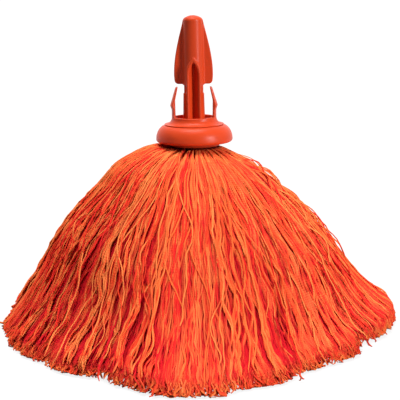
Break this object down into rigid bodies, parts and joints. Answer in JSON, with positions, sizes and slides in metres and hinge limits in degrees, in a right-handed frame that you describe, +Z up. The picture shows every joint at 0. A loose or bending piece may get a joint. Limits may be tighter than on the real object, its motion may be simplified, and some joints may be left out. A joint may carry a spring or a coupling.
{
  "type": "string mop head",
  "caption": "Round string mop head: splayed yarns clamped under a domed collar, with a finned spike and snap arms that lock it into a handle socket.",
  "frame": {"origin": "on the floor under the centre of the skirt of yarns, which is the bottom centre of the bounding box", "axes": "+Z up along the spike, +X towards the right snap arm, and -Y towards the front, where one of the two guide channels faces"},
  "size_m": [0.3628, 0.3896, 0.283],
  "materials": {
    "shell_plastic": "satin orange-red injection-moulded polypropylene",
    "plug_plastic": "matte orange-red injection-moulded polypropylene",
    "zinc_steel": "zinc-plated steel",
    "yarn": "matte orange-red twisted microfibre yarn with a soft nap"
  },
  "bodies": {
    "head": {"handle_spike": "shell_plastic", "collar_dome": "shell_plastic", "yarn_plug": "plug_plastic", "clamp_washer": "zinc_steel", "clamp_screw": "zinc_steel", "yarn_front_left": "yarn", "yarn_front_right": "yarn", "yarn_back_left": "yarn", "yarn_back_right": "yarn"},
    "left_arm": {"snap_arm_left": "shell_plastic"},
    "right_arm": {"snap_arm_right": "shell_plastic"}
  },
  "joints": [
    {"name": "left_arm_flex", "type": "hinge", "parent": "head", "child": "left_arm", "pos_m": [-0.0178, 0, 0.1923], "axis": [0, 1, 0], "range_deg": [0, 8], "stiffness_Nm_per_rad": 0.5},
    {"name": "right_arm_flex", "type": "hinge", "parent": "head", "child": "right_arm", "pos_m": [0.0178, 0, 0.1923], "axis": [0, -1, 0], "range_deg": [0, 8], "stiffness_Nm_per_rad": 0.5}
  ]
}
